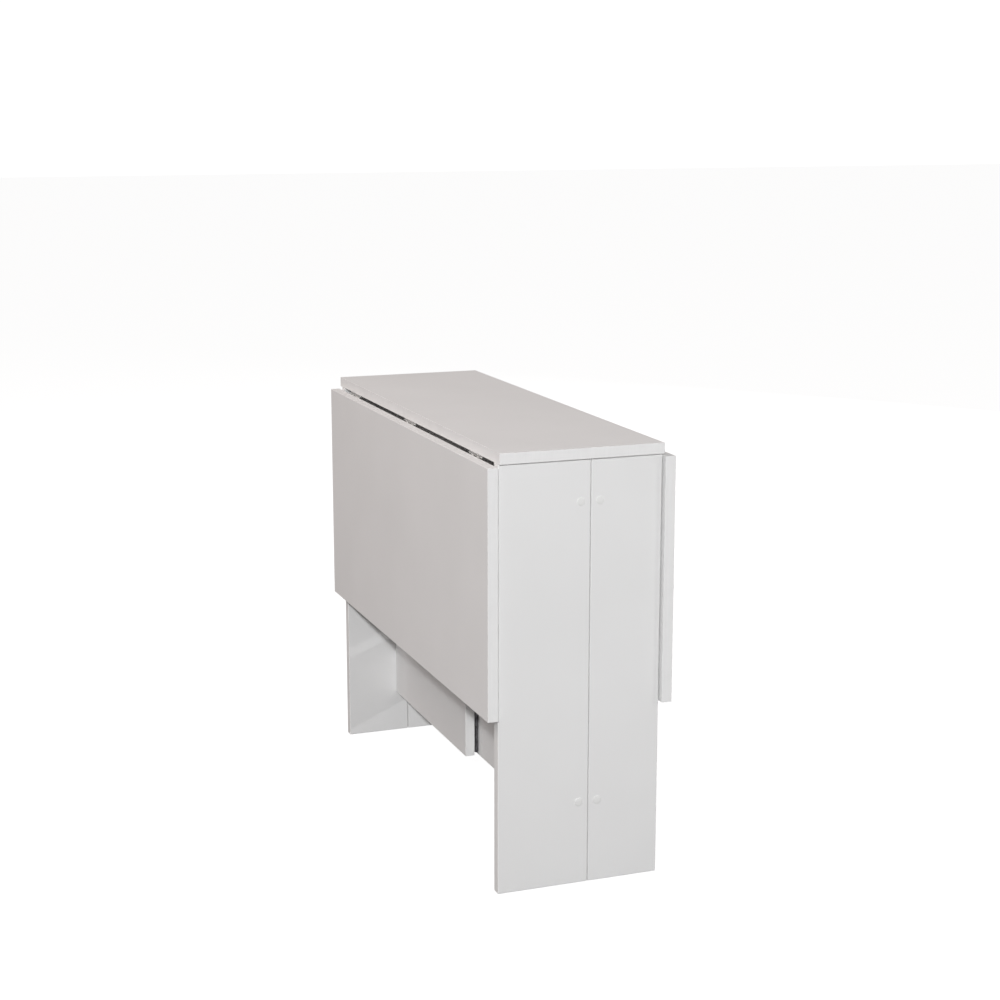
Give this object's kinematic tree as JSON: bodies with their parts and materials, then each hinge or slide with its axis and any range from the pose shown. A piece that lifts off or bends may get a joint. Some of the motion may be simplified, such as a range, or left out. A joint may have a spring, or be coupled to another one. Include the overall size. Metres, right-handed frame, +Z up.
{
  "type": "gateleg table",
  "caption": "Folding gateleg table with a narrow fixed top, drop leaves on butt hinges, split end boards and railed gates that swing out under the raised leaves.",
  "frame": {"origin": "middle of the footprint, on the floor that the end boards stand on", "axes": "+Z up; +Y along the leaf hinges, from the end shown nearest to the far end; +X across the table towards the right leaf"},
  "size_m": [0.324, 0.9, 0.735],
  "materials": {
    "white_board": "white melamine-faced particle board with matching edging, fine satin grain",
    "cap_plastic": "satin moulded",
    "hinge_steel": "bright nickel plate",
    "dark_hinge_steel": "dark burnished strip",
    "screw_steel": "zinc plate",
    "dowel_beech": "bare turned beech"
  },
  "bodies": {
    "frame": {"top_slab": "white_board", "near_end_board": "white_board", "far_end_board": "white_board", "spine_upper_rail": "white_board", "spine_lower_rail": "white_board", "gate_left_leg": "white_board", "gate_left_upper_rail": "white_board", "gate_left_lower_rail": "white_board", "gate_right_leg": "white_board", "gate_right_upper_rail": "white_board", "gate_right_lower_rail": "white_board", "leaf_left_hinge_slab_plates": "hinge_steel", "leaf_left_hinge_pins": "hinge_steel", "leaf_left_hinge_slab_screws": "screw_steel", "leaf_right_hinge_slab_plates": "hinge_steel", "leaf_right_hinge_pins": "hinge_steel", "leaf_right_hinge_slab_screws": "screw_steel", "gate_left_hinge_spine_plates": "dark_hinge_steel", "gate_left_hinge_rail_plates": "dark_hinge_steel", "gate_left_hinge_pins": "dark_hinge_steel", "gate_left_hinge_spine_screws": "screw_steel", "gate_left_hinge_rail_screws": "screw_steel", "gate_right_hinge_spine_plates": "dark_hinge_steel", "gate_right_hinge_rail_plates": "dark_hinge_steel", "gate_right_hinge_pins": "dark_hinge_steel", "gate_right_hinge_spine_screws": "screw_steel", "gate_right_hinge_rail_screws": "screw_steel", "frame_confirmat_screws": "screw_steel", "gate_left_confirmat_screws": "screw_steel", "gate_right_confirmat_screws": "screw_steel", "frame_screw_caps": "cap_plastic", "gate_left_screw_caps": "cap_plastic", "gate_right_screw_caps": "cap_plastic", "frame_dowels": "dowel_beech", "slab_dowels": "dowel_beech", "gate_left_dowels": "dowel_beech", "gate_right_dowels": "dowel_beech", "slab_cams": "screw_steel", "slab_cam_bolts": "screw_steel"},
    "left_leaf": {"leaf_left": "white_board", "leaf_left_hinge_leaf_plates": "hinge_steel", "leaf_left_hinge_leaf_screws": "screw_steel"},
    "right_leaf": {"leaf_right": "white_board", "leaf_right_hinge_leaf_plates": "hinge_steel", "leaf_right_hinge_leaf_screws": "screw_steel"}
  },
  "joints": [
    {"name": "left_leaf_hinge", "type": "hinge", "parent": "frame", "child": "left_leaf", "pos_m": [-0.1417, 0, 0.7147], "axis": [0, 1, 0], "range_deg": [0, 90]},
    {"name": "right_leaf_hinge", "type": "hinge", "parent": "frame", "child": "right_leaf", "pos_m": [0.1417, 0, 0.7147], "axis": [0, -1, 0], "range_deg": [0, 90]}
  ]
}
